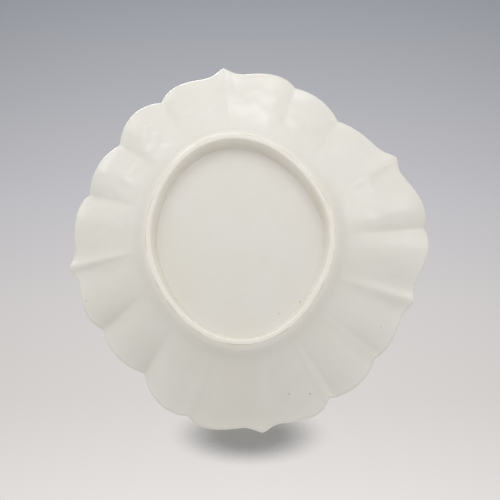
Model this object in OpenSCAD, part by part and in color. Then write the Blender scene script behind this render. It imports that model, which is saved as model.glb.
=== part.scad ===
// Scalloped dessert plate: a press-moulded porcelain dish on a separate, luted foot ring.
// It stands on its foot ring with the well facing up. The origin is the middle of the
// plate's outline, at the height of the table.

/* [Plate] */
// Overall length, from the top tip to the bottom tip
plate_l = 206.5; // [170:0.5:250]
// Overall width, across the side lobes
plate_w = 195; // [160:1:240]
// Overall height above the table
plate_h = 28; // [22:0.5:40]

/* [Dish] */
// Thickness of the flat well
well_t = 4; // [2.5:0.1:6]
// Thickness of the rim, whose edge is a half round
edge_t = 3; // [2:0.1:5]
// How far each lobe swells below the creases beside it, at the rim
lobe_relief = 2; // [0:0.1:4]
// Usual height of the ribs that run down the wall on some creases, at the rim
rib_h = 0.8; // [0:0.1:2]
// How far the wall flattens outwards, close to the rim
rim_flare = 0.7; // [0:0.1:2]
// Flat ledge on the underside, between the foot ring and the start of the wall
seat_ledge = 0.5; // [0:0.1:4]

/* [Foot ring] */
// Height of the foot ring
foot_h = 7.5; // [4:0.5:12]
// Length of the recess inside the foot ring, where it meets the dish
recess_l = 105; // [80:0.5:130]
// Width of the recess inside the foot ring, where it meets the dish
recess_w = 88.5; // [70:0.5:120]
// Thickness of the foot ring at its root
foot_root_t = 10.5; // [8:0.1:13]
// Width of the ground crest that the plate stands on
foot_crest_t = 2.7; // [1.2:0.1:4]
// Lean of the ring's inner wall, from root to crest
foot_lean = 3.3; // [0:0.1:4]
// Height of the straight band above the crest
foot_band_h = 0.8; // [0.2:0.1:2]
// Sideways place of the foot ring, from the middle that the lobes turn about
foot_off_x = 0.3; // [-3:0.1:3]
// Lengthways place of the foot ring, from the middle that the lobes turn about
foot_off_y = 0.2; // [-3:0.1:3]

/* [Hidden] */

// The creases between the lobes, from the top tip towards +X. Angles turn about the mould's
// middle, from +Y. A pointed tip stands at some creases, and the others are notches.
crease_angles = [5, 27, 47.5, 68.5, 95.5, 120, 142.5, 163, 187, 210.5, 231, 253.5, 278, 302, 324, 342];
// How far each crease has turned where it reaches the foot, as the mould was cut by hand
crease_turns = [-1, 0, -1, 1, 0, -1, 1, 5, 5, -3, -4, -4, -3, -5, -5, -1];
tip_creases = [0, 4, 8, 11, 13];
// Radius of the outline at each crease, and the bulge of the lobe that follows it
crease_shares = [1.08, 0.98, 0.925, 0.915, 0.97, 0.89, 0.885, 1, 1.06, 0.99, 0.98, 1.025,
    1.05, 1.045, 0.945, 1.01];
bulge_shares = [0.036, 0.052, 0.028, 0.03, 0.038, 0.036, 0.05, 0.035, 0.045, 0.036, 0.02, 0.035,
    0.036, 0.008, 0.023, 0.036];
// Depth of the valley at each crease, as a share of the relief
cut_shares = [0.2, 0.25, 0.3, 1, 0.5, 0.8, 0.8, 0.2, 0.1, 0.2, 0.8, 0.6, 1, 0.15, 0.15, 0.2];
// Height of the rib on each crease, as a share of the usual height, and its width in degrees
rib_shares = [0.3, 0, 0, 0, 0.8, 0, 0, 0.5, 1.2, 0.8, 0, 1.4, 0, 0.1, 0, 0];
rib_spreads = [3, 3, 3, 3, 2, 3, 3, 4, 2.5, 4, 3, 4.5, 3, 3, 3, 3];
// How far a tip reaches past the lobes beside it, and the width of its point in degrees
tip_reach_share = 0.042;
tip_spread = 6;
// Roundness of a tip's point and of a rib's crest, in degrees
point_round = 0.8;
// Sharpness of the notches, and how strongly a lobe leans away from a tip
lobe_power = 0.75;
lean_power = 2;
// Curve of the valleys, and roundness of their bottoms
valley_power = 1.1;
valley_round_share = 0.25;

// The foot is egg-shaped: the size and direction of the waves that bend its ellipse
egg_turn = 5;
egg_wave3_share = 0.012;
egg_wave3_turn = 42;
egg_wave4_share = 0.02;

// Curve of the wall's underside and upper side, where 1 is straight
under_power = 1.1;
upper_power = 1.25;
// The well's flat floor ends inside the start of the wall, by this share of the wall's run
well_edge_share = -0.12;
// The wall starts to flatten at this share of its run from the rim
flare_share = 0.2;

lobes = len(crease_angles);
lobe_steps = 14;
wall_steps = 8;
edge_steps = 6;
columns = lobes * lobe_steps;
column_list = [for (c = [0 : columns - 1]) c];

// A column is one line of points from the foot to the rim. It lies in a lobe, at a share u
// of the way from the lobe's first crease to its next
function lobe(c) = floor(c / lobe_steps);
function u(c) = c / lobe_steps - lobe(c);
function next_crease(i) = (i + 1) % lobes;
function is_tip(i) = len([for (t = tip_creases) if (t == i) t]) > 0;
function mix(a, b, share) = a + (b - a) * share;
function crease_angle(i) = crease_angles[i % lobes] + 360 * floor(i / lobes);
function rim_angle(c) = mix(crease_angle(lobe(c)), crease_angle(lobe(c) + 1), u(c));
function foot_angle(c) = rim_angle(c)
    + mix(crease_turns[lobe(c)], crease_turns[next_crease(lobe(c))], u(c));

// The swell is 0 at a lobe's creases and 1 at its crest, and leans away from a tip
function lean(i, share) = is_tip(i) ? pow(share, lean_power)
    : is_tip(next_crease(i)) ? 1 - pow(1 - share, lean_power) : share;
function swell(c) = pow(max(0, sin(180 * lean(lobe(c), u(c)))), lobe_power);
// A point or a rib is 1 on its crease and fades to 0 on both sides of it
function fade(angle, spread) =
    pow(max(0, 1 - (norm([angle, point_round]) - point_round) / spread), 2);
function past_first(c) = rim_angle(c) - crease_angle(lobe(c));
function past_next(c) = rim_angle(c) - crease_angle(lobe(c) + 1);
function point(c) = max(
    is_tip(lobe(c)) ? fade(past_first(c), tip_spread) : 0,
    is_tip(next_crease(lobe(c))) ? fade(past_next(c), tip_spread) : 0);
function rib_share(i, angle) = rib_shares[i] * fade(angle, rib_spreads[i]);
function rib(c) = max(rib_share(lobe(c), past_first(c)), rib_share(next_crease(lobe(c)), past_next(c)));
// The valley is 0 on a lobe's crest and as deep as its cut on a crease
function soften(share) = (norm([share, valley_round_share]) - valley_round_share)
    / (norm([1, valley_round_share]) - valley_round_share);
function valley(c) = (1 - soften(pow(max(0, sin(180 * u(c))), valley_power)))
    * mix(cut_shares[lobe(c)], cut_shares[next_crease(lobe(c))], u(c));

// The outline is drawn at unit size about the mould's middle, then fitted to the overall
// length and width, with the middle of its box at the origin
function shoulder(i) = crease_shares[i] - (is_tip(i) ? tip_reach_share : 0);
function rim_share(c) = mix(shoulder(lobe(c)), shoulder(next_crease(lobe(c))), u(c))
    + bulge_shares[lobe(c)] * swell(c) + tip_reach_share * point(c);
unit_x = [for (c = column_list) rim_share(c) * sin(rim_angle(c))];
unit_y = [for (c = column_list) rim_share(c) * cos(rim_angle(c))];
fit_x = plate_w / (max(unit_x) - min(unit_x));
fit_y = plate_l / (max(unit_y) - min(unit_y));
mould_middle = -[fit_x * (max(unit_x) + min(unit_x)), fit_y * (max(unit_y) + min(unit_y))] / 2;
function rim_at(c) = mould_middle + [fit_x * unit_x[c], fit_y * unit_y[c]];

// The egg outline of the recess, and outlines at a given distance outside it
foot_middle = mould_middle + [foot_off_x, foot_off_y];
recess_r = (recess_l + recess_w) / 4;
egg_wave2_share = (recess_l - recess_w) / (recess_l + recess_w);
function egg(angle) = 1 + egg_wave2_share * cos(2 * (angle - egg_turn))
    + egg_wave3_share * cos(3 * (angle - egg_wave3_turn))
    + egg_wave4_share * cos(4 * (angle - egg_turn));
function foot_at(angle, out) = foot_middle
    + (recess_r * egg(angle) + out) * [sin(angle), cos(angle)];
function foot_outline(out) = [for (c = column_list) foot_at(foot_angle(c), out)];

// In plan the wall runs straight from the edge of the flat underside to the rim
function wall_start(c) = foot_at(foot_angle(c), foot_root_t + seat_ledge);
function wall_run(c) = norm(rim_at(c) - wall_start(c)) - edge_t / 2;
function wall_point(c, share, out, z) = let (
    direction = (rim_at(c) - wall_start(c)) / norm(rim_at(c) - wall_start(c)),
    place = wall_start(c) + direction * (wall_run(c) * share + out))
    [place[0], place[1], z];
function relief(c) = lobe_relief * (1 - valley(c)) + rib_h * rib(c);
function flare(share) = rim_flare * pow(max(0, share - 1 + flare_share) / flare_share, 2);
well_z = foot_h + well_t;
function under_z(c, share) = foot_h - relief(c) * share - flare(share)
    + (plate_h - edge_t - foot_h + rim_flare) * pow(share, under_power);
function upper_z(c, share) = well_z - relief(c) * max(0, share) - flare(share)
    + (plate_h - well_z + rim_flare)
    * pow((share - well_edge_share) / (1 - well_edge_share), upper_power);

under_rings = [for (k = [0 : wall_steps]) let (share = k / wall_steps)
    [for (c = column_list) wall_point(c, share, 0, under_z(c, share))]];
edge_rings = [for (k = [1 : edge_steps - 1]) let (turn = 180 * k / edge_steps - 90)
    [for (c = column_list) wall_point(c, 1, edge_t / 2 * cos(turn),
        under_z(c, 1) + edge_t / 2 * (1 + sin(turn)))]];
upper_rings = [for (k = [wall_steps : -1 : 0])
    let (share = mix(well_edge_share, 1, k / wall_steps))
    [for (c = column_list) wall_point(c, share, 0, upper_z(c, share))]];
dish_rings = concat(under_rings, edge_rings, upper_rings);

// Triangles between two rings of points, each as long as the list of columns
function band_faces(ring, other) = [for (c = column_list) let (
    a = ring * columns + c, b = ring * columns + (c + 1) % columns,
    d = other * columns + c, e = other * columns + (c + 1) % columns)
    each [[a, d, b], [b, d, e]]];

module dish() {
    last = len(dish_rings) - 1;
    underside = [for (c = column_list) c];
    wall = [for (ring = [0 : last - 1]) each band_faces(ring, ring + 1)];
    well = [for (c = column_list) last * columns + columns - 1 - c];
    color("ivory")
        polyhedron([for (ring = dish_rings) each ring], concat([underside], wall, [well]));
}

// The ring tapers from its root to a straight band, whose end is the ground crest
foot_section = [
    [foot_root_t, foot_h],
    [foot_lean + foot_crest_t, foot_band_h],
    [foot_lean, foot_band_h],
    [0, foot_h]];

module foot_ring() {
    corners = len(foot_section);
    points = [for (corner = foot_section) for (p = foot_outline(corner[0])) [p[0], p[1], corner[1]]];
    taper = [for (k = [0 : corners - 1]) each band_faces(k, (k + 1) % corners)];
    color("floralwhite") {
        linear_extrude(foot_band_h)
            difference() {
                polygon(foot_outline(foot_lean + foot_crest_t));
                polygon(foot_outline(foot_lean));
            }
        polyhedron(points, taper);
    }
}

dish();
foot_ring();
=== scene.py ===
"""A scalloped dessert plate: a press-moulded porcelain dish on a luted foot ring, under a clear glossy glaze.

The plate lies with its well upwards. The camera looks at its underside from below, with the plate's
normal leaning 17 degrees towards the top of the picture, in front of a pale studio sweep.
"""

from __future__ import annotations

import logging
import math
from dataclasses import dataclass, field
from enum import Enum
from typing import Iterable

import bmesh
import bpy
from mathutils import Matrix, Vector, noise

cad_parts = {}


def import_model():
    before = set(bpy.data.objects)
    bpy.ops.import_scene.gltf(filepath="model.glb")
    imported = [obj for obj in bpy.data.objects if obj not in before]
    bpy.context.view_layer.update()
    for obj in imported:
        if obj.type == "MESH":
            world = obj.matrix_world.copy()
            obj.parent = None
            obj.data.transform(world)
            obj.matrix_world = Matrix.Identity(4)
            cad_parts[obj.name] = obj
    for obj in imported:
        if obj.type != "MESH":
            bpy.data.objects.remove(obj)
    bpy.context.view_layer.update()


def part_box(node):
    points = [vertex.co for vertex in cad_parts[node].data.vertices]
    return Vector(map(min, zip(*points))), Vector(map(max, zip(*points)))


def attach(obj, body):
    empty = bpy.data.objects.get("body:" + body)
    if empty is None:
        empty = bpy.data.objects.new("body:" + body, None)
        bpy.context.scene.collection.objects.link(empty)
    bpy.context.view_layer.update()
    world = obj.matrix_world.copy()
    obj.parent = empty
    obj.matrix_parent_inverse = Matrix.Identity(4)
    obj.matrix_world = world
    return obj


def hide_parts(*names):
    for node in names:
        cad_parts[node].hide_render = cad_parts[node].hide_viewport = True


LOG = logging.getLogger("scalloped_plate")
MM = 0.001
FULL_TURN = 2 * math.pi
# How far a worked-out place may fall short of a whole lobe or ring, and how close vertices merge
HAIR = 1e-6
WELD_GAP = 1e-5

Colour = tuple[float, float, float, float]


class CreaseKind(Enum):
    """What stands where two lobes meet: an inward notch or a pointed tip."""

    NOTCH = "notch"
    TIP = "tip"


class Side(Enum):
    """A side of the dish."""

    UNDER = 0
    UPPER = 1


@dataclass(frozen=True)
class Crease:
    """One crease between two lobes, and the lobe that follows it towards +X.

    Angles are in degrees about the mould's middle, from +Y towards +X. Reach and bulge are shares
    of the unit outline. Turn is how far the crease has turned where it meets the foot. Cut is how
    deep the valley is, and rib how high its ridge is, as shares of the usual relief. Spread is how
    wide the ridge is on each side, in degrees. Groove is how deep a thin line runs just past it.
    """

    angle: float
    turn: float
    reach: float
    bulge: float
    cut: float
    rib: float = 0.0
    kind: CreaseKind = CreaseKind.NOTCH
    spread: float = 3.0
    groove: float = 0.0


CREASES = (
    Crease(5, -1, 1.08, 0.036, 0.2, 0.3, CreaseKind.TIP, groove=0.35),
    Crease(27, 0, 0.98, 0.052, 0.12),
    Crease(47.5, -1, 0.925, 0.028, 0.2),
    Crease(68.5, 1, 0.915, 0.03, 1.0),
    Crease(95.5, 0, 0.97, 0.038, 0.5, 0.7, CreaseKind.TIP, 2.0, 0.4),
    Crease(120, -1, 0.89, 0.036, 0.8),
    Crease(142.5, 1, 0.885, 0.05, 0.7),
    Crease(163, 5, 1, 0.035, 0.2, 2.0, spread=4.0, groove=0.4),
    Crease(187, 5, 1.06, 0.045, 0.1, 1.7, CreaseKind.TIP, 3.0, 0.3),
    Crease(210.5, -3, 0.99, 0.036, 0.2, 1.9, spread=3.0, groove=0.8),
    Crease(231, -4, 0.98, 0.02, 0.4, 0.8, groove=0.6),
    Crease(253.5, -4, 1.025, 0.035, 0.6, 1.4, CreaseKind.TIP, 4.5),
    Crease(278, -3, 1.05, 0.036, 0.9),
    Crease(302, -5, 1.045, 0.008, 0.06, 0.0, CreaseKind.TIP),
    Crease(324, -5, 0.945, 0.023, 0.08),
    Crease(342, -1, 1.01, 0.036, 0.12),
)


def mix(start: float, end: float, share: float) -> float:
    """Value at a share of the way from start to end."""
    return start + (end - start) * share


def soften(height: float, radius: float) -> float:
    """Round the sharp foot of a curve that runs from 0 to 1.

    Args:
        height: The sharp curve's value.
        radius: How much of the foot is rounded, as a share of the height.

    Returns:
        The rounded value, still 0 at 0 and 1 at 1.
    """
    return (math.hypot(height, radius) - radius) / (math.hypot(1, radius) - radius)


def fade(gap: float, spread: float, rounding: float) -> float:
    """Hump that is 1 at no gap, with a rounded top, and runs out to 0 at the spread."""
    return max(0.0, 1 - (math.hypot(gap, rounding) - rounding) / spread) ** 2


def bell(distance: float, width: float) -> float:
    """Smooth hump that is 1 at no distance and fades over a width."""
    return math.exp(-((distance / width) ** 2))


@dataclass(frozen=True)
class Column:
    """One line of the wall, from the foot to the rim, in plan."""

    start: Vector
    direction: Vector
    length: float
    outward: Vector
    valley: float
    rib: float
    notch: float


@dataclass
class Mould:
    """The hump mould that the dish is pressed over, which gives every surface its place.

    Places along the outline are counted in lobes: 2.5 is halfway along the lobe that follows the
    third crease.
    """

    length: float
    width: float
    creases: tuple[Crease, ...] = CREASES
    recess_length: float = 105 * MM
    recess_width: float = 88.5 * MM
    foot_offset: Vector = field(default_factory=lambda: Vector((0.3, 0.2)) * MM)
    foot_root: float = 10.5 * MM
    seat_ledge: float = 0.5 * MM
    tip_reach_share: float = 0.042
    tip_spread: float = 6
    notch_spread: float = 4
    groove_aside: float = 1.8
    groove_spread: float = 1.8
    point_round: float = 0.8
    valley_power: float = 1.1
    valley_round_share: float = 0.25
    lobe_power: float = 0.75
    lean_power: float = 2
    crease_radius_share: float = 0.12
    egg_turn: float = 5
    egg_wave3_share: float = 0.012
    egg_wave3_turn: float = 42
    egg_wave4_share: float = 0.02
    fitting_steps: int = 30

    def __post_init__(self) -> None:
        """Fit the unit outline to the plate's length and width, and centre its box."""
        steps = len(self.creases) * self.fitting_steps
        unit = [self._unit_rim(step / self.fitting_steps) for step in range(steps)]
        low = Vector(min(point[axis] for point in unit) for axis in (0, 1))
        high = Vector(max(point[axis] for point in unit) for axis in (0, 1))
        self.fit = Vector((self.width / (high.x - low.x), self.length / (high.y - low.y)))
        middle = (low + high) / 2
        self.middle = Vector((-self.fit.x * middle.x, -self.fit.y * middle.y))
        self.foot_middle = self.middle + self.foot_offset

    def lobe(self, place: float) -> tuple[Crease, Crease, float]:
        """Creases on both sides of a place, and its share of the way between them."""
        count = len(self.creases)
        first = math.floor(place + HAIR)
        share = max(0.0, place - first)
        return self.creases[first % count], self.creases[(first + 1) % count], share

    def rim_angle(self, place: float) -> float:
        """Angle of a place on the rim, in degrees."""
        first, last, share = self.lobe(place)
        return first.angle + self._span(first, last) * share

    def foot_angle(self, place: float) -> float:
        """Angle of the same line where it meets the foot, in degrees."""
        first, last, share = self.lobe(place)
        return self.rim_angle(place) + mix(first.turn, last.turn, share)

    def swell(self, place: float) -> float:
        """Rise of a lobe: 0 on its creases and 1 on its crest, which leans away from a tip."""
        first, last, share = self.lobe(place)
        if first.kind is CreaseKind.TIP:
            share = share**self.lean_power
        elif last.kind is CreaseKind.TIP:
            share = 1 - (1 - share) ** self.lean_power
        arch = max(0.0, math.sin(math.pi * share)) ** self.lobe_power
        return soften(arch, self.crease_radius_share)

    def near(self, place: float, kind: CreaseKind, spread: float) -> float:
        """Closeness to a crease of one kind: 1 on it, fading to 0 at the spread, in degrees."""
        first, last, share = self.lobe(place)
        span = self._span(first, last)
        gaps = [span * share] if first.kind is kind else []
        gaps += [span * (1 - share)] if last.kind is kind else []
        return max((fade(gap, spread, self.point_round) for gap in gaps), default=0.0)

    def valley(self, place: float) -> float:
        """Depth of the valley between two lobes: 0 on a lobe's crest and its cut on a crease."""
        first, last, share = self.lobe(place)
        arch = max(0.0, math.sin(math.pi * share)) ** self.valley_power
        return (1 - soften(arch, self.valley_round_share)) * mix(first.cut, last.cut, share)

    def rib(self, place: float) -> float:
        """Height of the ridge that runs down a crease, as a share of the usual height, less its groove."""
        first, last, share = self.lobe(place)
        span = self._span(first, last)
        gaps = ((first, span * share), (last, span * (share - 1)))
        ridge = max(crease.rib * fade(abs(gap), crease.spread, self.point_round) for crease, gap in gaps)
        return ridge - max(
            crease.groove * fade(abs(gap - self.groove_aside), self.groove_spread, self.point_round)
            for crease, gap in gaps)

    def rim(self, place: float) -> Vector:
        """Place on the rim's outline, in plan."""
        unit = self._unit_rim(place)
        return self.middle + Vector((self.fit.x * unit.x, self.fit.y * unit.y))

    def foot(self, place: float, out: float) -> Vector:
        """Place at a distance outside the egg-shaped recess, in plan."""
        turn = math.radians(self.foot_angle(place))
        return self.foot_middle + Vector((math.sin(turn), math.cos(turn))) * (self._egg_radius(place) + out)

    def column(self, place: float) -> Column:
        """Work out the wall's line at a place once, for every point on it."""
        start = self.foot(place, self.wall_start)
        reach = self.rim(place) - start
        return Column(
            start=start, direction=reach.normalized(), length=reach.length,
            outward=(start - self.foot_middle).normalized(), valley=self.valley(place), rib=self.rib(place),
            notch=self.near(place, CreaseKind.NOTCH, self.notch_spread) * self.valley(place))

    @property
    def wall_start(self) -> float:
        """How far outside the recess the wall starts."""
        return self.foot_root + self.seat_ledge

    @staticmethod
    def _span(first: Crease, last: Crease) -> float:
        """Angle from one crease to the next, in degrees."""
        return (last.angle - first.angle) % 360

    def _egg_radius(self, place: float) -> float:
        """Radius of the recess at a place."""
        angle = self.foot_angle(place)
        wave2_share = (self.recess_length - self.recess_width) / (self.recess_length + self.recess_width)
        egg = 1 + wave2_share * math.cos(math.radians(2 * (angle - self.egg_turn)))
        egg += self.egg_wave3_share * math.cos(math.radians(3 * (angle - self.egg_wave3_turn)))
        egg += self.egg_wave4_share * math.cos(math.radians(4 * (angle - self.egg_turn)))
        return (self.recess_length + self.recess_width) / 4 * egg

    def _unit_rim(self, place: float) -> Vector:
        """Place on the unit outline."""
        first, last, share = self.lobe(place)
        shoulders = [
            crease.reach - (self.tip_reach_share if crease.kind is CreaseKind.TIP else 0)
            for crease in (first, last)
        ]
        reach = mix(*shoulders, share) + first.bulge * self.swell(place)
        reach += self.tip_reach_share * self.near(place, CreaseKind.TIP, self.tip_spread)
        angle = math.radians(self.rim_angle(place))
        return Vector((math.sin(angle), math.cos(angle))) * reach


class Wheel:
    """Throws round blanks: draws a section with bmesh operators and turns it about Z."""

    @staticmethod
    def draw(bm: bmesh.types.BMesh, start: bmesh.types.BMVert, end: Vector, cuts: int) -> bmesh.types.BMVert:
        """Draw a straight line of edges from a vertex.

        Args:
            bm: The mesh that holds the line.
            start: The vertex that the line starts from.
            end: Where the line ends.
            cuts: How many vertices divide the line.

        Returns:
            The vertex at the line's end.
        """
        tip, origin = start, start.co.copy()
        for step in range(1, cuts + 2):
            tip = bmesh.ops.extrude_vert_indiv(bm, verts=[tip])["verts"][0]
            tip.co = origin.lerp(end, step / (cuts + 1))
        return tip

    @staticmethod
    def turn(bm: bmesh.types.BMesh, steps: int) -> None:
        """Spin everything drawn so far a full turn from +Y towards +X, and close its poles.

        Args:
            bm: The mesh that holds the section.
            steps: How many columns of faces the turned blank gets.
        """
        bmesh.ops.spin(
            bm, geom=bm.verts[:] + bm.edges[:], cent=(0, 0, 0), axis=(0, 0, -1), dvec=(0, 0, 0),
            angle=FULL_TURN, steps=steps, use_merge=True, use_normal_flip=False, use_duplicate=False)
        bmesh.ops.remove_doubles(bm, verts=bm.verts[:], dist=WELD_GAP)

    @staticmethod
    def fire(bm: bmesh.types.BMesh, name: str) -> bpy.types.Object:
        """Turn the normals outwards and make the finished mesh an object at the origin.

        Args:
            bm: The finished mesh, which is freed.
            name: The piece's name.

        Returns:
            The linked object, smooth-shaded.
        """
        bmesh.ops.recalc_face_normals(bm, faces=bm.faces[:])
        for face in bm.faces:
            face.smooth = True
        mesh = bpy.data.meshes.new(name)
        bm.to_mesh(mesh)
        bm.free()
        piece = bpy.data.objects.new(name, mesh)
        bpy.context.scene.collection.objects.link(piece)
        return piece


@dataclass
class Dish:
    """The press-moulded body: a flat well, a fluted wall and a rounded rim."""

    mould: Mould
    height: float
    foot_height: float
    well_thickness: float = 4 * MM
    edge_thickness: float = 3 * MM
    lobe_relief: float = 2 * MM
    rib_height: float = 0.8 * MM
    rib_power: float = 0.6
    under_power: float = 1.1
    upper_power: float = 1.25
    well_edge_share: float = -0.12
    cove_height: float = 4.2 * MM
    cove_run: float = 2.8 * MM
    cove_out: float = 8 * MM
    cove_hidden_width: float = 2 * MM
    seam_out: float = 4 * MM
    rim_flare: float = 0.7 * MM
    rim_flare_share: float = 0.2
    press_height: float = 0.3 * MM
    press_size: float = 13 * MM
    dab_height: float = 0.36 * MM
    dab_size: float = 5.4 * MM
    dab_side: Vector = field(default_factory=lambda: Vector((0.15, 0.99)))
    corner_out: float = 11 * MM
    corner_width: float = 1.6 * MM
    corner_pool_and_shade_share: float = 0.5
    floor_sag: float = 1.2 * MM
    lobe_steps: int = 26
    flat_cuts: int = 5
    ledge_share: float = 0.8
    ledge_cuts: int = 11
    wall_cuts: int = 40
    edge_steps: int = 10

    def build(self) -> bpy.types.Object:
        """Throw a round blank, press it over the mould and return it as the dish.

        Returns:
            The dish, at its place in the frame.
        """
        count = len(self.mould.creases) * self.lobe_steps
        columns = [self.mould.column(step / self.lobe_steps) for step in range(count)]
        bm = bmesh.new()
        self._draw_blank(bm)
        Wheel.turn(bm, count)
        pool_and_shade = bm.verts.layers.float.new("pool_and_shade")
        for vert in bm.verts:
            turn = math.atan2(vert.co.x, vert.co.y) / FULL_TURN
            column = columns[round(turn * count) % count]
            radius, level = math.hypot(vert.co.x, vert.co.y), vert.co.z
            vert.co = self._pressed(column, radius, level)
            out = (vert.co.xy - column.start).dot(column.outward) + self.mould.wall_start
            # The corner outside the foot is tinted darker: partly glaze that pools there, partly painted
            # shade.
            corner = self.corner_pool_and_shade_share * bell(out - self.corner_out, self.corner_width) * (1 - level)
            vert[pool_and_shade] = min(1.0, column.notch * min(1.0, max(0.0, radius - 1)) + corner)
        return Wheel.fire(bm, "dish_glazed")

    def _draw_blank(self, bm: bmesh.types.BMesh) -> None:
        """Draw the blank's section: radius 1 is the wall's start, 2 the rim, and its levels are 0 and 1."""
        tip = bm.verts.new((0, 0, 0))
        tip = Wheel.draw(bm, tip, Vector((0, self.ledge_share, 0)), self.flat_cuts)
        tip = Wheel.draw(bm, tip, Vector((0, 1, 0)), self.ledge_cuts)
        rim = Wheel.draw(bm, tip, Vector((0, 2, 0)), self.wall_cuts)
        bmesh.ops.spin(
            bm, geom=[rim], cent=(0, 2, 0.5), axis=(1, 0, 0), dvec=(0, 0, 0), angle=math.pi,
            steps=self.edge_steps, use_merge=False, use_normal_flip=False, use_duplicate=False)
        tip = max(bm.verts, key=lambda vert: vert.co.z)
        tip = Wheel.draw(bm, tip, Vector((0, 1, 1)), self.wall_cuts)
        Wheel.draw(bm, tip, Vector((0, 0, 1)), self.flat_cuts)

    def _pressed(self, column: Column, radius: float, level: float) -> Vector:
        """Where a place on the blank ends up on the mould.

        Args:
            column: The wall's line through the place.
            radius: Its radius on the blank: 1 at the wall's start and 2 at the rim.
            level: 0 on the underside and 1 on the upper side.

        Returns:
            The place on the finished dish.
        """
        run = column.length - self.edge_thickness / 2
        side = Side.UPPER if level > 0.5 else Side.UNDER
        if radius > 2 - HAIR:
            plan = column.start + column.direction * (run + (radius - 2) * self.edge_thickness)
            low = self._under(column, 1.0)
            return Vector((plan.x, plan.y, mix(low, self._upper(column, 1.0), level)))
        edge = self.well_edge_share if side is Side.UPPER else 0.0
        share = mix(edge, 1, radius - 1) if radius > 1 else edge
        plan = column.start + column.direction * run * share
        out = self.mould.wall_start + run * share
        sag = self.floor_sag * max(0.0, 1 - (radius / self.ledge_share) ** 2)
        if radius < 1 and side is Side.UPPER:
            plan = self.mould.foot_middle.lerp(plan, radius)
        elif radius < 1:
            ledge = max(0.0, radius - self.ledge_share) / (1 - self.ledge_share)
            out = mix(self.seam_out, self.mould.wall_start, ledge)
            plan = column.start - column.outward * (self.mould.wall_start - out)
            plan = self.mould.foot_middle.lerp(plan, min(1.0, radius / self.ledge_share))
        height = self._upper(column, share) if side is Side.UPPER else self._under(column, share)
        if side is Side.UNDER and radius > self.ledge_share - HAIR:
            height -= self._cove(out)
        height += self._press_mark(plan, max(0.0, share), side) - sag
        return Vector((plan.x, plan.y, height))

    def _relief(self, column: Column, share: float) -> float:
        """How far the wall stands out at a share of its run, from its lobes and the ribs on its creases."""
        lobes = self.lobe_relief * (1 - column.valley) * max(0.0, share)
        return lobes + self.rib_height * column.rib * max(0.0, share) ** self.rib_power

    def _under(self, column: Column, share: float) -> float:
        """Height of the underside at a share of the wall's run."""
        rise = self.height - self.edge_thickness - self.foot_height + self.rim_flare
        height = self.foot_height + rise * max(0.0, share) ** self.under_power
        return height - self._relief(column, share) - self._flare(share)

    def _upper(self, column: Column, share: float) -> float:
        """Height of the upper side at a share of the wall's run."""
        well = self.foot_height + self.well_thickness
        climb = max(0.0, share - self.well_edge_share) / (1 - self.well_edge_share)
        height = well + (self.height - well + self.rim_flare) * climb**self.upper_power
        return height - self._relief(column, share) - self._flare(share)

    def _flare(self, share: float) -> float:
        """How far the wall bends outwards at a share of its run, close to the rim."""
        return self.rim_flare * (max(0.0, share - 1 + self.rim_flare_share) / self.rim_flare_share) ** 2

    def _cove(self, out: float) -> float:
        """Height of the clay that fills the corner outside the foot, at a distance from the recess."""
        past = out - self.cove_out
        if past < 0:
            return self.cove_height * bell(past, self.cove_hidden_width)
        return self.cove_height * math.exp(-past / self.cove_run)

    def _press_mark(self, plan: Vector, share: float, side: Side) -> float:
        """Slight unevenness that palms, and on the underside fingers, leave in the pressed clay."""
        place = Vector((plan.x, plan.y, 0.0))
        palm = self.press_height * noise.noise(place / self.press_size)
        if side is Side.UNDER:
            turned = (1 + plan.xy.normalized().dot(self.dab_side)) / 2
            palm += self.dab_height * turned * noise.noise(place / self.dab_size)
        return palm * math.sin(math.pi * min(1.0, share))


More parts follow.
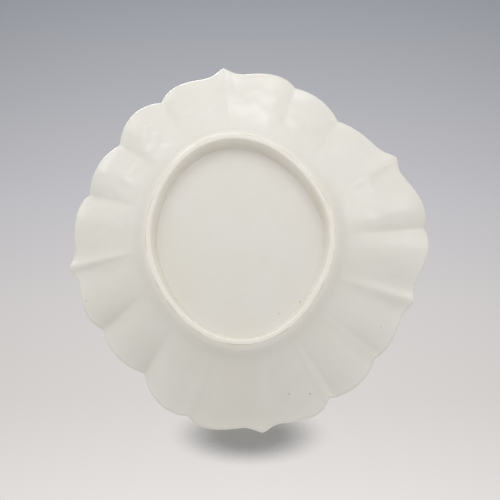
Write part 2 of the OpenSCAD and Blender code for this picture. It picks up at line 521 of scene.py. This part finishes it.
@dataclass
class FootRing:
    """The luted foot: an egg-shaped ring with a ground crest, steep walls and glaze in its corners, whose
    darker tint is partly painted shade.
    """

    mould: Mould
    height: float
    crest: float = 2.7 * MM
    lean: float = 3.5 * MM
    knee_run: float = 2 * MM
    knee_height: float = 5.5 * MM
    fillet_start: float = 0.8 * MM
    fillet_end: float = 0.1 * MM
    fillet_height: float = 0.15 * MM
    sink: float = 0.3 * MM
    inner_round: float = 0.7 * MM
    outer_round: float = 0.4 * MM
    knee_round: float = 1 * MM
    root_round: float = 0.3 * MM
    stain_inset: float = 0.1 * MM
    stain_width: float = 0.14 * MM
    corner_stain_and_shade_share: float = 0.45
    pool_and_shade_width: float = 5 * MM
    outer_pool_and_shade_share: float = 0.62
    blank_radius: float = 1.0
    lobe_steps: int = 24
    wall_cuts: int = 3
    round_segments: int = 6

    def build(self) -> bpy.types.Object:
        """Turn a round ring, bend it to the foot's egg shape and return it.

        Returns:
            The foot ring, at its place in the frame.
        """
        bm = bmesh.new()
        self._draw_section(bm)
        Wheel.turn(bm, len(self.mould.creases) * self.lobe_steps)
        pool_and_shade, stain_and_shade = (bm.verts.layers.float.new(name) for name in ("pool_and_shade", "stain_and_shade"))
        edge = self.lean + self.crest - self.stain_inset
        for vert in bm.verts:
            turn = math.atan2(vert.co.x, vert.co.y) / FULL_TURN
            out = math.hypot(vert.co.x, vert.co.y) - self.blank_radius
            plan = self.mould.foot(turn % 1 * len(self.mould.creases), out)
            # A thin dark line at the inner root is partly a real glaze mark and partly painted shade; the
            # crest's outer edge has real iron stains.
            corner = bell(vert.co.z - self.height + self.fillet_height, self.fillet_height)
            # The inner wall darkens towards its root and the outer wall outside the crest: partly glaze that
            # pools there, partly painted shade.
            inner = bell(vert.co.z - self.height, self.pool_and_shade_width)
            vert[pool_and_shade] = inner if out < edge else min(self.outer_pool_and_shade_share, (out - edge) / self.pool_and_shade_width)
            vert[stain_and_shade] = max(corner * self.corner_stain_and_shade_share, bell(out - edge, self.stain_width))
            vert.co = Vector((plan.x, plan.y, vert.co.z))
        return Wheel.fire(bm, "foot_ring_glazed")

    def _draw_section(self, bm: bmesh.types.BMesh) -> None:
        """Draw the ring's closed section, round its crest and fill its inner corner with glaze."""
        base, top = self.height, self.height + self.sink
        root = self.mould.foot_root
        corners = [
            (-self.fillet_start, base, 0), (self.fillet_end, base - self.fillet_height, 0),
            (self.lean - self.knee_run, self.knee_height, 0), (self.lean, 0.0, self.wall_cuts),
            (self.lean + self.crest, 0.0, 0), (root, base, self.wall_cuts), (root, top, 0),
            (-self.fillet_start, top, 0),
        ]
        rounds = {1: self.root_round, 2: self.knee_round, 3: self.inner_round, 4: self.outer_round}
        verts: list[bmesh.types.BMVert] = []
        for out, level, cuts in corners:
            place = Vector((0, self.blank_radius + out, level))
            verts.append(Wheel.draw(bm, verts[-1], place, cuts) if verts else bm.verts.new(place))
        bm.edges.new((verts[-1], verts[0]))
        for index, radius in rounds.items():
            bmesh.ops.bevel(
                bm, geom=[verts[index]], affect="VERTICES", offset=radius, offset_type="OFFSET",
                segments=self.round_segments, profile=0.5, material=-1, clamp_overlap=True)


@dataclass(frozen=True)
class Glaze:
    """A clear glossy glaze over porcelain, the way it colours where it is thick or thin, and the darker tints
    that also paint shade into its corners.
    """

    body: Colour
    cloud: Colour
    pooled_and_shaded: Colour
    gloss: float = 0.17
    dull: float = 0.26
    cloud_size: float = 26 * MM
    wave_size: float = 5 * MM
    wave_height: float = 0.075 * MM
    peel_size: float = 1.6 * MM
    peel_height: float = 0.006 * MM
    stain_and_shade: Colour = (0.58, 0.46, 0.28, 1)
    stain_and_shade_size: float = 15 * MM
    iron: Colour = (0.33, 0.25, 0.11, 1)
    halo: Colour = (0.66, 0.59, 0.35, 1)
    halo_share: float = 0.45
    speck_spacing: float = 5.5 * MM
    speck_rarity: float = 0.07
    speck_radius: float = 0.38 * MM
    pinhole_spacing: float = 3 * MM
    pinhole_rarity: float = 0.04
    pinhole_radius: float = 0.2 * MM
    pit_depth: float = 0.12 * MM


DISH_GLAZE = Glaze(
    body=(0.845, 0.812, 0.752, 1), cloud=(0.83, 0.795, 0.715, 1), pooled_and_shaded=(0.765, 0.75, 0.66, 1))
# The foot's glaze is lighter than the dish's: partly its own creamy colour over the crest, partly painted
# light that brightens the crest.
FOOT_GLAZE = Glaze(
    body=(0.945, 0.907, 0.825, 1), cloud=(0.925, 0.88, 0.78, 1), pooled_and_shaded=(0.765, 0.72, 0.605, 1),
    gloss=0.22)


class NodeBench:
    """Lays shader nodes in a tree and joins them."""

    def __init__(self, tree: bpy.types.NodeTree) -> None:
        """Keep the tree that the nodes go into."""
        self.tree = tree

    def add(self, kind: str, **settings: object) -> bpy.types.Node:
        """Add a node and set its properties.

        Args:
            kind: The node's type name.
            **settings: Its properties, by name.

        Returns:
            The new node.
        """
        node = self.tree.nodes.new(kind)
        for name, value in settings.items():
            setattr(node, name, value)
        return node

    def put(self, value: object, socket: bpy.types.NodeSocket) -> None:
        """Set an input to a plain value, or link an output to it."""
        if isinstance(value, bpy.types.NodeSocket):
            self.tree.links.new(value, socket)
        else:
            socket.default_value = value

    def maths(self, operation: str, *values: object) -> bpy.types.NodeSocket:
        """Add a Math node.

        Args:
            operation: The node's operation.
            *values: A number or an output socket for each input.

        Returns:
            The node's output.
        """
        node = self.add("ShaderNodeMath", operation=operation)
        for value, socket in zip(values, node.inputs):
            self.put(value, socket)
        return node.outputs[0]

    def span(
            self, value: object, low: float, high: float, start: float = 0.0, end: float = 1.0,
            kind: str = "SMOOTHSTEP") -> bpy.types.NodeSocket:
        """Map a value from one range to another and clamp it.

        Args:
            value: A number or an output socket.
            low: Where the range starts.
            high: Where the range ends.
            start: Result at its start.
            end: Result at its end.
            kind: How the value runs between them.

        Returns:
            The mapped value.
        """
        node = self.add("ShaderNodeMapRange", interpolation_type=kind)
        names = ("Value", "From Min", "From Max", "To Min", "To Max")
        for name, number in zip(names, (value, low, high, start, end)):
            self.put(number, node.inputs[name])
        return node.outputs["Result"]

    def dot(self, value: object, other: object) -> bpy.types.NodeSocket:
        """Dot product of two vectors."""
        node = self.add("ShaderNodeVectorMath", operation="DOT_PRODUCT")
        self.put(value, node.inputs[0])
        self.put(other, node.inputs[1])
        return node.outputs["Value"]

    def blend(self, share: object, first: object, second: object) -> bpy.types.NodeSocket:
        """Mix two colours.

        Args:
            share: How much of the second colour there is.
            first: The first colour.
            second: The second colour.

        Returns:
            The mixed colour.
        """
        node = self.add("ShaderNodeMix", data_type="RGBA")
        colours = [socket for socket in node.inputs if socket.type == "RGBA"]
        self.put(share, node.inputs["Factor"])
        self.put(first, colours[0])
        self.put(second, colours[1])
        return next(socket for socket in node.outputs if socket.type == "RGBA")

    def choose(self, share: object, first: bpy.types.Node, second: bpy.types.Node, output: str) -> None:
        """Mix two shaders and lead them to the tree's output.

        Args:
            share: How much of the second shader there is.
            first: The first shader.
            second: The second shader.
            output: The output node's type name.
        """
        mixed = self.add("ShaderNodeMixShader")
        self.put(share, mixed.inputs["Fac"])
        self.put(first.outputs[0], mixed.inputs[1])
        self.put(second.outputs[0], mixed.inputs[2])
        self.put(mixed.outputs[0], self.add(output).inputs["Surface"])

    def noise(self, coords: object, size: object, detail: float = 2.0) -> bpy.types.NodeSocket:
        """Add soft noise.

        Args:
            coords: Where it is read.
            size: How wide its patches are, in metres.
            detail: How many finer layers it has.

        Returns:
            A value from 0 to 1.
        """
        node = self.add("ShaderNodeTexNoise", noise_dimensions="3D")
        self.put(coords, node.inputs["Vector"])
        self.put(self.maths("DIVIDE", 1.0, size), node.inputs["Scale"])
        self.put(detail, node.inputs["Detail"])
        return node.outputs["Fac"]


class GroupBench(NodeBench):
    """A bench on a new shader node group, whose sockets are read and filled by name."""

    def __init__(self, name: str, inputs: dict[str, str], outputs: dict[str, str]) -> None:
        """Make the group and its sockets.

        Args:
            name: The group's name.
            inputs: Each input's socket type, by the input's name.
            outputs: Each output's socket type, by the output's name.
        """
        super().__init__(bpy.data.node_groups.new(name, "ShaderNodeTree"))
        for socket, kind in inputs.items():
            self.tree.interface.new_socket(socket, in_out="INPUT", socket_type=kind)
        for socket, kind in outputs.items():
            self.tree.interface.new_socket(socket, in_out="OUTPUT", socket_type=kind)
        self.given = self.add("NodeGroupInput").outputs
        self.result = self.add("NodeGroupOutput").inputs


VECTOR, NUMBER, COLOUR = "NodeSocketVector", "NodeSocketFloat", "NodeSocketColor"


@dataclass
class GlazeKit:
    """The shader groups that every glazed surface shares, each built once, and the glazes made with them.

    A span is where a pattern's values start to show and where they show in full.
    """

    cloud_layers: float = 3.0
    cloud_span: tuple[float, float] = (0.5, 0.85)
    fine_size_share: float = 0.25
    fine_weight: float = 0.3
    pool_and_shade_span: tuple[float, float] = (0.3, 0.7)
    thin_pool_and_shade: float = 0.6
    smallest_speck: float = 0.45
    dot_span: tuple[float, float] = (0.5, 1.0)
    halo_span: tuple[float, float] = (0.9, 2.6)
    stain_and_shade_span: tuple[float, float] = (0.4, 0.6)
    gloss_span: tuple[float, float] = (0.35, 0.7)

    def __post_init__(self) -> None:
        """Build the groups."""
        self.tone = self._tone_group()
        self.specks = self._speck_group()
        self.skin = self._skin_group()

    def _tone_group(self) -> bpy.types.ShaderNodeTree:
        """Colour that drifts slowly between two tones, and deepens where the glaze pools thick and where
        shade is painted into corners.
        """
        bench = GroupBench(
            "glaze_tone",
            {
                "Coords": VECTOR, "Size": NUMBER, "PoolAndShade": NUMBER,
                "Body": COLOUR, "Cloud": COLOUR, "PooledAndShaded": COLOUR,
            },
            {"Colour": COLOUR})
        given = bench.given
        broad = bench.noise(given["Coords"], given["Size"], self.cloud_layers)
        fine = bench.noise(given["Coords"], bench.maths("MULTIPLY", given["Size"], self.fine_size_share))
        share = bench.span(bench.maths("MULTIPLY_ADD", fine, self.fine_weight, broad), *self.cloud_span)
        tone = bench.blend(share, given["Body"], given["Cloud"])
        depth = bench.span(broad, *self.pool_and_shade_span, self.thin_pool_and_shade, 1.0)
        pool_and_shade = bench.maths("MULTIPLY", given["PoolAndShade"], depth)
        bench.put(bench.blend(pool_and_shade, tone, given["PooledAndShaded"]), bench.result["Colour"])
        return bench.tree

    def _speck_group(self) -> bpy.types.ShaderNodeTree:
        """Scattered round dots of uneven size, each with a wider halo."""
        bench = GroupBench(
            "kiln_specks",
            {"Coords": VECTOR, "Spacing": NUMBER, "Rarity": NUMBER, "Radius": NUMBER},
            {"Dot": NUMBER, "Halo": NUMBER})
        given = bench.given
        cells = bench.add("ShaderNodeTexVoronoi", voronoi_dimensions="3D", feature="F1")
        bench.put(given["Coords"], cells.inputs["Vector"])
        bench.put(bench.maths("DIVIDE", 1.0, given["Spacing"]), cells.inputs["Scale"])
        chance = bench.add("ShaderNodeSeparateColor")
        bench.put(cells.outputs["Color"], chance.inputs["Color"])
        picked = bench.maths("LESS_THAN", chance.outputs["Red"], given["Rarity"])
        size = bench.span(chance.outputs["Green"], 0.0, 1.0, self.smallest_speck, 1.0)
        distance = bench.maths("MULTIPLY", cells.outputs["Distance"], given["Spacing"])
        reach = bench.maths("DIVIDE", distance, bench.maths("MULTIPLY", given["Radius"], size))
        for name, span in (("Dot", self.dot_span), ("Halo", self.halo_span)):
            mask = bench.span(reach, *span, 1.0, 0.0)
            bench.put(bench.maths("MULTIPLY", picked, mask), bench.result[name])
        return bench.tree

    @staticmethod
    def _skin_group() -> bpy.types.ShaderNodeTree:
        """Height of the glaze's skin in millimetres: slow waves and a fine peel."""
        bench = GroupBench(
            "glaze_skin",
            {
                "Coords": VECTOR, "Wave Size": NUMBER, "Wave Height": NUMBER,
                "Peel Size": NUMBER, "Peel Height": NUMBER,
            },
            {"Height": NUMBER})
        given = bench.given
        wave = bench.maths(
            "MULTIPLY", bench.noise(given["Coords"], given["Wave Size"], 1.0), given["Wave Height"])
        peel = bench.noise(given["Coords"], given["Peel Size"], 1.0)
        bench.put(bench.maths("MULTIPLY_ADD", peel, given["Peel Height"], wave), bench.result["Height"])
        return bench.tree

    @staticmethod
    def _lay(bench: NodeBench, tree: bpy.types.ShaderNodeTree, **values: object) -> bpy.types.Node:
        """Place a group in a material.

        Args:
            bench: The material's bench.
            tree: The group.
            **values: A value or an output socket for each input, by its name with underscores.

        Returns:
            The placed group.
        """
        node = bench.add("ShaderNodeGroup", node_tree=tree)
        for name, value in values.items():
            bench.put(value, node.inputs[name.replace("_", " ")])
        return node

    def glazed(self, name: str, glaze: Glaze) -> bpy.types.Material:
        """Make a glazed porcelain material.

        Args:
            name: The material's name.
            glaze: Its colours, gloss and flaws.

        Returns:
            The material.
        """
        material = bpy.data.materials.new(name)
        material.use_nodes = True
        bench = NodeBench(material.node_tree)
        shader = material.node_tree.nodes["Principled BSDF"]
        coords = bench.add("ShaderNodeTexCoord").outputs["Object"]
        # These masks carry real pooling and stains in the glaze, and painted shade in the corners around the
        # foot.
        pool_and_shade = bench.add("ShaderNodeAttribute", attribute_name="pool_and_shade").outputs["Fac"]
        stain_and_shade = bench.add("ShaderNodeAttribute", attribute_name="stain_and_shade").outputs["Fac"]
        tone = self._lay(
            bench, self.tone, Coords=coords, Body=glaze.body, Cloud=glaze.cloud, PooledAndShaded=glaze.pooled_and_shaded,
            PoolAndShade=pool_and_shade, Size=glaze.cloud_size).outputs["Colour"]
        patches = bench.span(bench.noise(coords, glaze.stain_and_shade_size), *self.stain_and_shade_span)
        stained_and_shaded = bench.maths("MULTIPLY", stain_and_shade, patches)
        specks = self._lay(
            bench, self.specks, Coords=coords, Spacing=glaze.speck_spacing, Rarity=glaze.speck_rarity,
            Radius=glaze.speck_radius)
        pinholes = self._lay(
            bench, self.specks, Coords=coords, Spacing=glaze.pinhole_spacing, Rarity=glaze.pinhole_rarity,
            Radius=glaze.pinhole_radius)
        halo = bench.maths("MULTIPLY", specks.outputs["Halo"], glaze.halo_share)
        flaw = bench.maths("MAXIMUM", specks.outputs["Dot"], pinholes.outputs["Dot"])
        tone = bench.blend(stained_and_shaded, tone, glaze.stain_and_shade)
        tone = bench.blend(halo, tone, glaze.halo)
        bench.put(bench.blend(flaw, tone, glaze.iron), shader.inputs["Base Color"])
        drift = bench.noise(coords, glaze.cloud_size)
        bench.put(bench.span(drift, *self.gloss_span, glaze.gloss, glaze.dull), shader.inputs["Roughness"])
        skin = self._lay(
            bench, self.skin, Coords=coords, Wave_Size=glaze.wave_size, Wave_Height=glaze.wave_height / MM,
            Peel_Size=glaze.peel_size, Peel_Height=glaze.peel_height / MM).outputs["Height"]
        bump = bench.add("ShaderNodeBump")
        bench.put(bench.maths("MULTIPLY_ADD", flaw, -glaze.pit_depth / MM, skin), bump.inputs["Height"])
        bench.put(MM, bump.inputs["Distance"])
        bench.put(bump.outputs["Normal"], shader.inputs["Normal"])
        return material


WHITE = (1.0, 1.0, 1.0)
DAYLIGHT = (0.93, 0.97, 1.0)


@dataclass(frozen=True)
class Lamp:
    """A square soft lamp, placed by the photograph's directions: right, up and near."""

    name: str
    right: float
    up: float
    near: float
    size: float
    power: float
    tint: tuple[float, float, float] = WHITE


@dataclass(frozen=True)
class Tent:
    """Soft light from all round, by the photograph's directions.

    Everywhere is what every side gives, and above, below and aside are what these sides give on
    top of it. Behind the plate all of it falls to a share, from one depth to another.
    """

    everywhere: float = 0.24
    above: float = 0.52
    below: float = 0.53
    aside: float = 0.38
    behind_share: float = 0.35
    behind_start: float = 0.1
    behind_end: float = 0.8


@dataclass(frozen=True)
class Sweep:
    """The backdrop's colours from the picture's bottom to its top, and how much its sides darken: the darker
    top and sides are painted falloff of light.

    Surround is its colour outside the picture, which gives way to the others from one depth to
    another.
    """

    stops: tuple[tuple[float, Colour], ...] = (
        (0.0, (0.79, 0.765, 0.75, 1)), (0.2, (0.695, 0.668, 0.652, 1)), (0.4, (0.655, 0.632, 0.63, 1)),
        (0.6, (0.56, 0.553, 0.58, 1)), (1.0, (0.33, 0.345, 0.38, 1)))
    low_dim: float = 0.05
    high_dim: float = 0.1
    surround: Colour = (0.72, 0.72, 0.72, 1)
    surround_end: float = 0.85
    picture_start: float = 0.97


@dataclass(frozen=True)
class Sheet:
    """An oval sheet of pale paper that only the camera sees, and only its front.

    Size holds its half width, its half length and 1. Solid is the share of it that is opaque,
    before it fades out. Turn is how far its front is turned from +Z, about X.
    """

    name: str
    middle: tuple[float, float, float]
    size: tuple[float, float, float]
    solid: float
    shade: float
    turn: float = 0.0


@dataclass
class Studio:
    """The camera, the lamps, the floor and the sweep behind the plate."""

    tilt: float = math.radians(17)
    lens: float = 1000
    sensor: float = 36
    frame_width: float = 270 * MM
    aim_right: float = 0.54 * MM
    aim_up: float = -7.1 * MM
    tent: Tent = Tent()
    sweep: Sweep = Sweep()
    lamps: tuple[Lamp, ...] = (
        Lamp("softbox_front", 0.0, 0.47, 0.27, 0.45, 0.5),
        Lamp("window_top", 0.1, 0.98, 0.2, 0.28, 0.5, DAYLIGHT),
        Lamp("window_left", -0.5, 0.8, 0.34, 0.36, 0.95, DAYLIGHT),
        Lamp("window_right", 0.6, 0.68, 0.42, 0.32, 0.5, DAYLIGHT),
        Lamp("softbox_above", -0.25, 0.5604, -0.9033, 0.6, 6.0),
    )
    sheets: tuple[Sheet, ...] = (
        Sheet("floor", (0.0, 0.0, 0.0), (2.2, 2.2, 1.0), 0.25, 0.8),
        # The shade patch is darker paper than the floor: it deepens the plate's real cast shadow behind its
        # lower edge with painted shade.
        Sheet("shade_patch", (0.0, -100 * MM, 39 * MM), (46 * MM, 19 * MM, 1.0), 0.3, 0.5, math.pi),
    )
    sheet_segments: int = 96

    def place(self, right: float, up: float, near: float) -> Vector:
        """Place given by the photograph's directions: to its right, to its top and to the camera."""
        cosine, sine = math.cos(self.tilt), math.sin(self.tilt)
        return Vector((-right, up * cosine - near * sine, -up * sine - near * cosine))

    def build(self) -> None:
        """Set up everything that isn't the plate."""
        self._camera()
        for lamp in self.lamps:
            self._hang(lamp)
        self._world()
        for sheet in self.sheets:
            self._lay(sheet)
        bpy.context.scene.view_settings.view_transform = "Standard"

    def _camera(self) -> None:
        """Put the camera straight in front of the picture's middle, with a long lens."""
        data = bpy.data.cameras.new("camera")
        data.lens = self.lens
        data.sensor_width = self.sensor
        camera = bpy.data.objects.new("camera", data)
        bpy.context.scene.collection.objects.link(camera)
        distance = self.frame_width * self.lens / self.sensor
        camera.location = self.place(self.aim_right, self.aim_up, distance)
        axes = Matrix((self.place(1, 0, 0), self.place(0, 1, 0), self.place(0, 0, 1)))
        camera.rotation_mode = "QUATERNION"
        camera.rotation_quaternion = axes.transposed().to_quaternion()
        bpy.context.scene.camera = camera

    def _hang(self, lamp: Lamp) -> None:
        """Hang a lamp so that it faces the plate.

        Args:
            lamp: The lamp.
        """
        data = bpy.data.lights.new(lamp.name, "AREA")
        data.shape = "SQUARE"
        data.size = lamp.size
        data.energy = lamp.power
        data.color = lamp.tint
        hung = bpy.data.objects.new(lamp.name, data)
        bpy.context.scene.collection.objects.link(hung)
        hung.location = self.place(lamp.right, lamp.up, lamp.near)
        hung.rotation_mode = "QUATERNION"
        hung.rotation_quaternion = (-hung.location).to_track_quat("-Z", "Y")
        hung.visible_camera = False

    def _world(self) -> None:
        """Light the plate from the tent, and show the camera and the glaze's gloss the sweep."""
        world = bpy.data.worlds.new("studio")
        bpy.context.scene.world = world
        world.use_nodes = True
        world.node_tree.nodes.clear()
        bench = NodeBench(world.node_tree)
        direction = bench.add("ShaderNodeTexCoord").outputs["Generated"]
        rise = bench.dot(direction, self.place(0, 1, 0))
        aside = bench.maths("ABSOLUTE", bench.dot(direction, self.place(1, 0, 0)))
        depth = bench.dot(direction, self.place(0, 0, -1))
        shown = bench.add("ShaderNodeBackground")
        bench.put(self._sweep_colour(bench, rise, aside, depth), shown.inputs["Color"])
        fill = bench.add("ShaderNodeBackground")
        bench.put((1, 1, 1, 1), fill.inputs["Color"])
        bench.put(self._tent_level(bench, rise, aside, depth), fill.inputs["Strength"])
        path = bench.add("ShaderNodeLightPath")
        seen = path.outputs["Is Camera Ray"]
        for ray in ("Is Glossy Ray", "Is Transmission Ray"):
            seen = bench.maths("MAXIMUM", seen, path.outputs[ray])
        bench.choose(seen, fill, shown, "ShaderNodeOutputWorld")

    def _sweep_colour(
            self, bench: NodeBench, rise: bpy.types.NodeSocket, aside: bpy.types.NodeSocket,
            depth: bpy.types.NodeSocket) -> bpy.types.NodeSocket:
        """Colour of the sweep in a direction.

        Args:
            bench: The world's bench.
            rise: How far the direction goes up.
            aside: How far it goes to either side.
            depth: How far it goes away from the camera.

        Returns:
            The colour.
        """
        half = self.sensor / 2 / self.lens
        ramp = bench.add("ShaderNodeValToRGB")
        bench.put(bench.span(rise, -half, half, kind="LINEAR"), ramp.inputs["Fac"])
        stops = ramp.color_ramp.elements
        stops[0].position, stops[0].color = self.sweep.stops[0]
        stops[1].position, stops[1].color = self.sweep.stops[-1]
        for position, colour in self.sweep.stops[1:-1]:
            stops.new(position).color = colour
        edge = bench.maths("POWER", bench.span(aside, 0.0, half, kind="LINEAR"), 2.0)
        most = bench.span(rise, -half, half, self.sweep.low_dim, self.sweep.high_dim)
        dimmed = bench.add("ShaderNodeVectorMath", operation="SCALE")
        bench.put(ramp.outputs["Color"], dimmed.inputs[0])
        bench.put(bench.maths("SUBTRACT", 1.0, bench.maths("MULTIPLY", edge, most)), dimmed.inputs["Scale"])
        share = bench.span(depth, self.sweep.surround_end, self.sweep.picture_start)
        return bench.blend(share, self.sweep.surround, dimmed.outputs["Vector"])

    def _tent_level(
            self, bench: NodeBench, rise: bpy.types.NodeSocket, aside: bpy.types.NodeSocket,
            depth: bpy.types.NodeSocket) -> bpy.types.NodeSocket:
        """Level of the tent's light from a direction.

        Args:
            bench: The world's bench.
            rise: How far the direction goes up.
            aside: How far it goes to either side.
            depth: How far it goes away from the camera.

        Returns:
            The level, where 1 is white.
        """
        tent = self.tent
        high = bench.maths("MULTIPLY", bench.maths("MAXIMUM", rise, 0.0), tent.above)
        low = bench.maths("MULTIPLY", bench.maths("MINIMUM", rise, 0.0), -tent.below)
        beside = bench.maths("MULTIPLY_ADD", aside, tent.aside, tent.everywhere)
        level = bench.maths("ADD", bench.maths("ADD", high, low), beside)
        behind = bench.span(depth, tent.behind_start, tent.behind_end, 1.0, tent.behind_share)
        return bench.maths("MULTIPLY", level, behind)

    def _lay(self, sheet: Sheet) -> None:
        """Cut a sheet and lay it in its place.

        Args:
            sheet: The sheet.
        """
        bm = bmesh.new()
        bmesh.ops.create_circle(bm, cap_ends=True, segments=self.sheet_segments, radius=1)
        bmesh.ops.scale(bm, vec=sheet.size, verts=bm.verts[:])
        bmesh.ops.rotate(bm, cent=(0, 0, 0), matrix=Matrix.Rotation(sheet.turn, 3, "X"), verts=bm.verts[:])
        bmesh.ops.translate(bm, vec=sheet.middle, verts=bm.verts[:])
        mesh = bpy.data.meshes.new(sheet.name)
        bm.to_mesh(mesh)
        bm.free()
        mesh.materials.append(self._paper(sheet))
        laid = bpy.data.objects.new(sheet.name, mesh)
        bpy.context.scene.collection.objects.link(laid)

    @staticmethod
    def _paper(sheet: Sheet) -> bpy.types.Material:
        """Make pale paper that fades out towards its sheet's edge.

        Args:
            sheet: The sheet that it is for.

        Returns:
            The material.
        """
        material = bpy.data.materials.new(f"{sheet.name}_paper")
        material.use_nodes = True
        material.node_tree.nodes.clear()
        bench = NodeBench(material.node_tree)
        spot = bench.add("ShaderNodeTexCoord").outputs["Object"]
        for operation, vector in (("SUBTRACT", sheet.middle), ("DIVIDE", sheet.size)):
            step = bench.add("ShaderNodeVectorMath", operation=operation)
            bench.put(spot, step.inputs[0])
            bench.put(vector, step.inputs[1])
            spot = step.outputs["Vector"]
        length = bench.add("ShaderNodeVectorMath", operation="LENGTH")
        bench.put(spot, length.inputs[0])
        solid = bench.span(length.outputs["Value"], sheet.solid, 1.0, 1.0, 0.0)
        back = bench.add("ShaderNodeNewGeometry").outputs["Backfacing"]
        camera = bench.add("ShaderNodeLightPath").outputs["Is Camera Ray"]
        shown = bench.maths("MULTIPLY", bench.maths("SUBTRACT", 1.0, back), solid)
        paper = bench.add("ShaderNodeBsdfDiffuse")
        bench.put((sheet.shade, sheet.shade, sheet.shade, 1), paper.inputs["Color"])
        clear = bench.add("ShaderNodeBsdfTransparent")
        bench.choose(bench.maths("MULTIPLY", camera, shown), clear, paper, "ShaderNodeOutputMaterial")
        return material


def main() -> None:
    """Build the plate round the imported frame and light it."""
    logging.basicConfig(level=logging.INFO, format="%(name)s: %(message)s")
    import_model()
    low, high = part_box("dish")
    mould = Mould(length=high.y - low.y, width=high.x - low.x)
    dish = Dish(mould, height=high.z, foot_height=low.z).build()
    kit = GlazeKit()
    dish.data.materials.append(kit.glazed("dish_glaze", DISH_GLAZE))
    ring = FootRing(mould, height=low.z).build()
    ring.data.materials.append(kit.glazed("foot_glaze", FOOT_GLAZE))
    for piece, node, slot in ((dish, "dish", "dish_glaze"), (ring, "foot_ring", "foot_glaze")):
        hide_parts(node)
        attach(piece, "root")
        LOG.info("%s: %d vertices", piece.name, len(piece.data.vertices))
    Studio().build()


if __name__ == "__main__":
    main()
